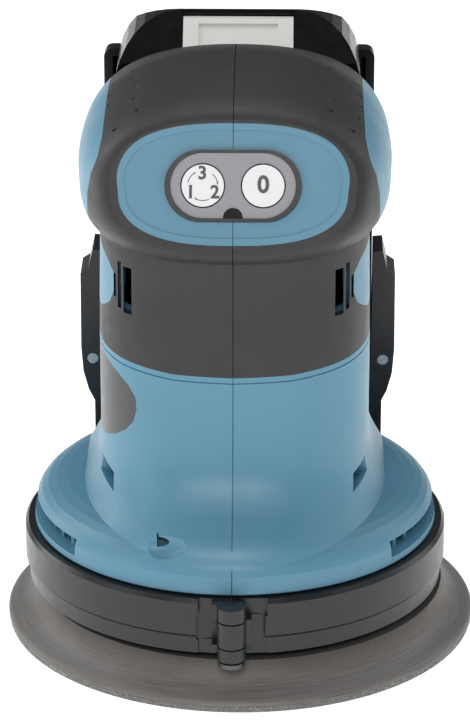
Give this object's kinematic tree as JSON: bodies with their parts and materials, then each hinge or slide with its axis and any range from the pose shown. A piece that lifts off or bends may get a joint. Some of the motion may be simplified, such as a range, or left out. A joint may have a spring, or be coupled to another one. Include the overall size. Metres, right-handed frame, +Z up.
{
  "type": "cordless orbital sander",
  "caption": "Palm-grip orbital sander with a round hook-faced pad, two-piece hinged bumper, rear slide-on battery and a clip-on dust box.",
  "frame": {"origin": "motor spindle axis at the plane of the pad's lower hook face", "axes": "+Z up along the spindle, -Y towards the control face, +X to the right seen from the front"},
  "size_m": [0.123, 0.175, 0.1526],
  "materials": {
    "aluminium": "cast",
    "battery_plastic": "semi-gloss",
    "black_plastic": "satin grain",
    "board": "solder mask",
    "brass": "bright",
    "bumper_plastic": "satin",
    "carbon": "pressed",
    "cell": "wrapped",
    "copper": "lacquered wire",
    "dark_steel": "blackened",
    "fan_plastic": "moulded",
    "hook": "hook fibres",
    "iron_core": "laminated",
    "lead": "insulated wire",
    "lens": "gloss",
    "magnet": "sintered",
    "membrane": "satin, fine speckle",
    "pad_foam": "soft skin",
    "pad_plastic": "moulded",
    "pale_key": "satin",
    "paper": "pleated paper",
    "plate": "satin film",
    "rubber_grip": "soft matt, fine grain",
    "seal": "soft",
    "steel": "machined",
    "teal_plastic": "fine satin grain",
    "white_key": "satin"
  },
  "bodies": {
    "housing": {"housing_left": "teal_plastic", "housing_right": "teal_plastic", "grip_left": "rubber_grip", "grip_right": "rubber_grip", "housing_screws": "steel", "name_plate": "plate", "switch_surround": "black_plastic", "switch_panel": "membrane", "indicator_lens": "lens", "switch_board": "board", "bearing_plate": "aluminium", "lower_bearing": "steel", "upper_bearing": "steel", "motor_can": "dark_steel", "motor_magnets": "magnet", "brush_holder": "black_plastic", "carbon_brushes": "carbon", "bearing_bridge": "black_plastic", "fan_shroud": "black_plastic", "brake_ring": "seal", "control_board": "board", "board_parts": "carbon", "motor_leads": "lead", "terminal_block": "black_plastic", "terminal_blades": "brass", "bumper_bracket": "dark_steel", "bumper_pin": "dark_steel"},
    "rotor": {"motor_shaft": "steel", "counterweight": "steel", "fan": "fan_plastic", "armature_core": "iron_core", "armature_windings": "copper", "commutator": "copper"},
    "pad": {"hook_layer": "hook", "pad_foam": "pad_foam", "pad_plate": "pad_plastic", "pad_hub": "aluminium", "pad_bearing": "steel", "pad_screws": "steel"},
    "bumper_left": {"bumper_left": "bumper_plastic"},
    "bumper_right": {"bumper_right": "bumper_plastic"},
    "speed_button": {"speed_button": "white_key"},
    "off_button": {"off_button": "white_key"},
    "battery": {"battery_front_case": "battery_plastic", "battery_rear_case": "battery_plastic", "battery_cells": "cell", "battery_board": "board", "battery_contacts": "brass", "battery_gauge": "lens"},
    "battery_button": {"battery_button": "pale_key"},
    "dust_box": {"dust_box_body": "black_plastic", "cover_pin": "steel", "filter_frame": "black_plastic", "dust_filter": "paper", "port_seal": "seal", "clip_pins": "steel"},
    "dust_box_cover": {"dust_box_cover": "black_plastic"},
    "clip_left": {"clip_left": "black_plastic"},
    "clip_right": {"clip_right": "black_plastic"}
  },
  "joints": [
    {"name": "rotor_spin", "type": "hinge", "parent": "housing", "child": "rotor", "pos_m": [0, 0, 0.07], "axis": [0, 0, 1], "continuous": true},
    {"name": "pad_spin", "type": "hinge", "parent": "rotor", "child": "pad", "pos_m": [0.0014, 0, 0.015], "axis": [0, 0, 1], "continuous": true},
    {"name": "speed_press", "type": "slide", "parent": "housing", "child": "speed_button", "axis": [0, 0.9336, -0.3584], "range_m": [0, 0.0005], "stiffness_N_per_m": 1500},
    {"name": "off_press", "type": "slide", "parent": "housing", "child": "off_button", "axis": [0, 0.9336, -0.3584], "range_m": [0, 0.0005], "stiffness_N_per_m": 1500},
    {"name": "battery_slide", "type": "slide", "parent": "housing", "child": "battery", "axis": [0, 0, 1], "range_m": [0, 0.095]},
    {"name": "battery_latch_press", "type": "slide", "parent": "battery", "child": "battery_button", "axis": [0, 1, 0], "range_m": [0, 0.003], "stiffness_N_per_m": 1500},
    {"name": "bumper_left_open", "type": "hinge", "parent": "housing", "child": "bumper_left", "pos_m": [0, -0.057, 0.02], "axis": [0, 0, 1], "range_deg": [0, 70]},
    {"name": "bumper_right_open", "type": "hinge", "parent": "housing", "child": "bumper_right", "pos_m": [0, -0.057, 0.02], "axis": [0, 0, -1], "range_deg": [0, 70]},
    {"name": "dust_box_slide", "type": "slide", "parent": "housing", "child": "dust_box", "axis": [0, 1, 0], "range_m": [0, 0.012]},
    {"name": "dust_cover_open", "type": "hinge", "parent": "dust_box", "child": "dust_box_cover", "pos_m": [0, 0.1102, 0.015], "axis": [-1, 0, 0], "range_deg": [0, 95]},
    {"name": "clip_left_squeeze", "type": "hinge", "parent": "dust_box", "child": "clip_left", "pos_m": [-0.0396, 0.053, 0.0525], "axis": [0, 1, 0], "range_deg": [0, 6], "stiffness_Nm_per_rad": 1},
    {"name": "clip_right_squeeze", "type": "hinge", "parent": "dust_box", "child": "clip_right", "pos_m": [0.0396, 0.053, 0.0525], "axis": [0, -1, 0], "range_deg": [0, 6], "stiffness_Nm_per_rad": 1}
  ]
}
